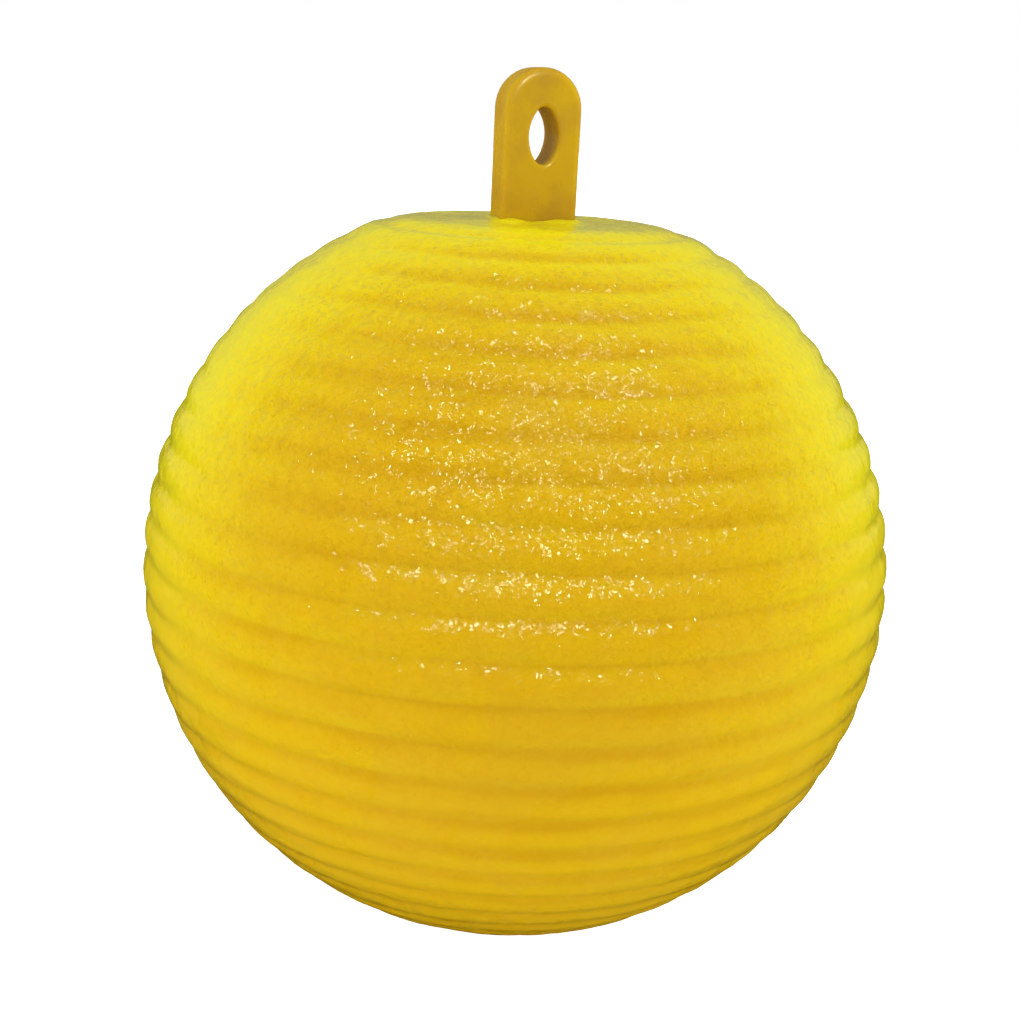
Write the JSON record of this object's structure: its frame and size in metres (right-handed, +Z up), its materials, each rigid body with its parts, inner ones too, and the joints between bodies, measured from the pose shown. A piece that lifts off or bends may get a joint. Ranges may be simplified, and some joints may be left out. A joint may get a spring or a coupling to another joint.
{
  "type": "sticky ball insect trap",
  "caption": "Hollow ribbed ball in two pegged half shells, coated with a sticky glue film, with an upright hanging tab with an eye on top.",
  "frame": {"origin": "centre of the lower flat that the ball rests on", "axes": "+Z up along the ball's axis through the hanging tab; the tab's front face looks along -Y; the halves part on the plane Y = 0"},
  "size_m": [0.08, 0.08, 0.0895],
  "materials": {
    "shell_plastic": "semi-gloss moulded golden yellow plastic",
    "adhesive": "wet glossy, fine-grained, non-drying yellow glue"
  },
  "bodies": {
    "root": {"front_half_shell": "shell_plastic", "rear_half_shell": "shell_plastic", "adhesive_coating": "adhesive"}
  },
  "joints": []
}
